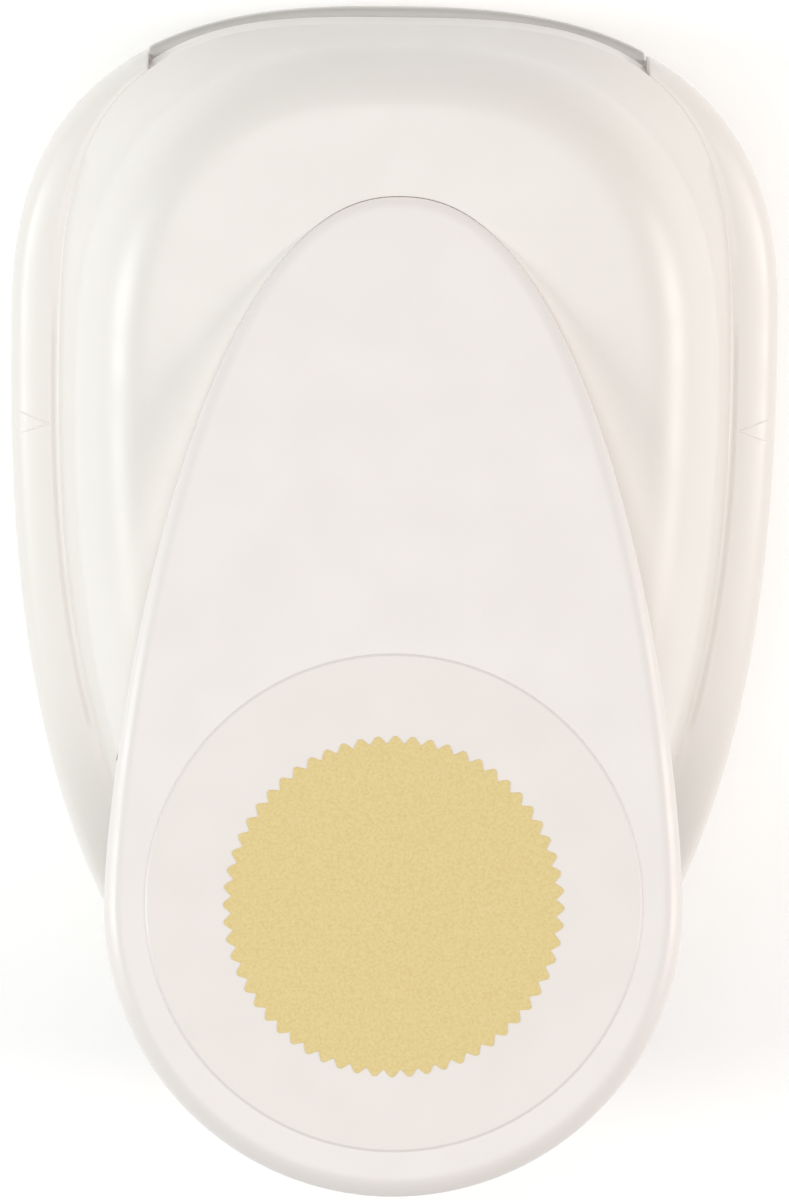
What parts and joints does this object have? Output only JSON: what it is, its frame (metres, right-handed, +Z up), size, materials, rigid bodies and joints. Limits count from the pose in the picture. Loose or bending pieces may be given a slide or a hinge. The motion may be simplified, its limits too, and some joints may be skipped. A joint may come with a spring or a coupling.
{
  "type": "lever craft punch",
  "caption": "Palm-lever paper punch whose toothed round punch cuts a disc out of card slid into the throat in front.",
  "frame": {"origin": "centre of the footprint on the surface that the punch stands on", "axes": "+X to the right seen from behind the lever, +Y towards the paper throat, +Z up"},
  "size_m": [0.083, 0.124, 0.0587],
  "materials": {
    "white_plastic": "satin moulded white",
    "cast_zinc": "satin grey zinc casting",
    "bright_steel": "ground bright",
    "dark_steel": "dark plated",
    "white_label": "satin white inlay",
    "matt_gold": "fine-grained matt gold"
  },
  "bodies": {
    "housing": {"base_housing": "white_plastic", "top_cover": "white_plastic", "die_block": "cast_zinc", "upper_frame": "cast_zinc", "slot_spacer": "bright_steel", "pivot_pin": "bright_steel", "pivot_clip_left": "dark_steel", "pivot_clip_right": "dark_steel", "housing_screw_1": "dark_steel", "die_screw_1": "dark_steel", "return_spring_1": "bright_steel", "housing_screw_2": "dark_steel", "die_screw_2": "dark_steel", "return_spring_2": "bright_steel", "housing_screw_3": "dark_steel", "die_screw_3": "dark_steel", "return_spring_3": "bright_steel", "housing_screw_4": "dark_steel", "die_screw_4": "dark_steel", "return_spring_4": "bright_steel"},
    "lever": {"lever_cap": "white_plastic", "lever_arm": "dark_steel", "press_pin": "bright_steel", "label_disc": "white_label", "gold_label": "matt_gold", "lever_screw_1": "bright_steel", "lever_screw_2": "bright_steel", "lever_screw_3": "bright_steel"},
    "punch": {"punch": "bright_steel", "punch_carrier": "dark_steel", "punch_screw_1": "bright_steel", "punch_screw_2": "bright_steel"}
  },
  "joints": [
    {"name": "lever_hinge", "type": "hinge", "parent": "housing", "child": "lever", "pos_m": [0, 0.04873, 0.0364], "axis": [1, 0, 0], "range_deg": [0, 10.88], "stiffness_Nm_per_rad": 10.2, "springref_deg": -3.56},
    {"name": "punch_slide", "type": "slide", "parent": "housing", "child": "punch", "axis": [0, 0, 1], "range_m": [-0.0061, 0], "deforming": ["return_spring_1", "return_spring_2", "return_spring_3", "return_spring_4"]}
  ],
  "couplings": [
    {"joint": "punch_slide", "follows": "lever_hinge", "m_per_rad": -0.031597}
  ]
}
